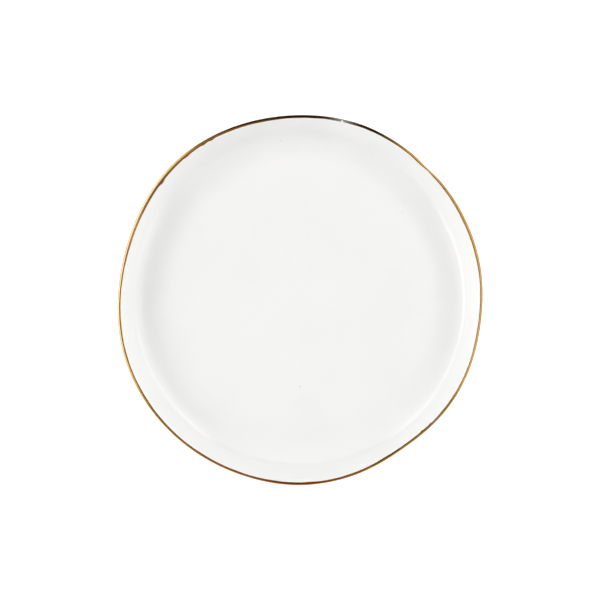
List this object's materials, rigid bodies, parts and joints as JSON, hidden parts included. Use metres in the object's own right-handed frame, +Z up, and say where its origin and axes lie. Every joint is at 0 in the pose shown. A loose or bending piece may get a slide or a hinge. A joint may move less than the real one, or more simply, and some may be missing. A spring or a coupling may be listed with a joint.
{
  "type": "dinner plate",
  "caption": "Round china dinner plate with a wide flat well, a coved sloping wall, a gold-lined lip and a bare foot ring underneath.",
  "frame": {"origin": "on the table, in the middle of the foot ring", "axes": "+Z up out of the well; +X and +Y across the plate, which is nearly the same all round"},
  "size_m": [0.268, 0.2718, 0.0248],
  "materials": {
    "bisque_porcelain": "matte",
    "white_glaze": "gloss",
    "gold_lustre": "polished"
  },
  "bodies": {
    "root": {"porcelain_body": "bisque_porcelain", "glaze_coat": "white_glaze", "foot_well_glaze": "white_glaze", "gold_rim": "gold_lustre"}
  },
  "joints": []
}
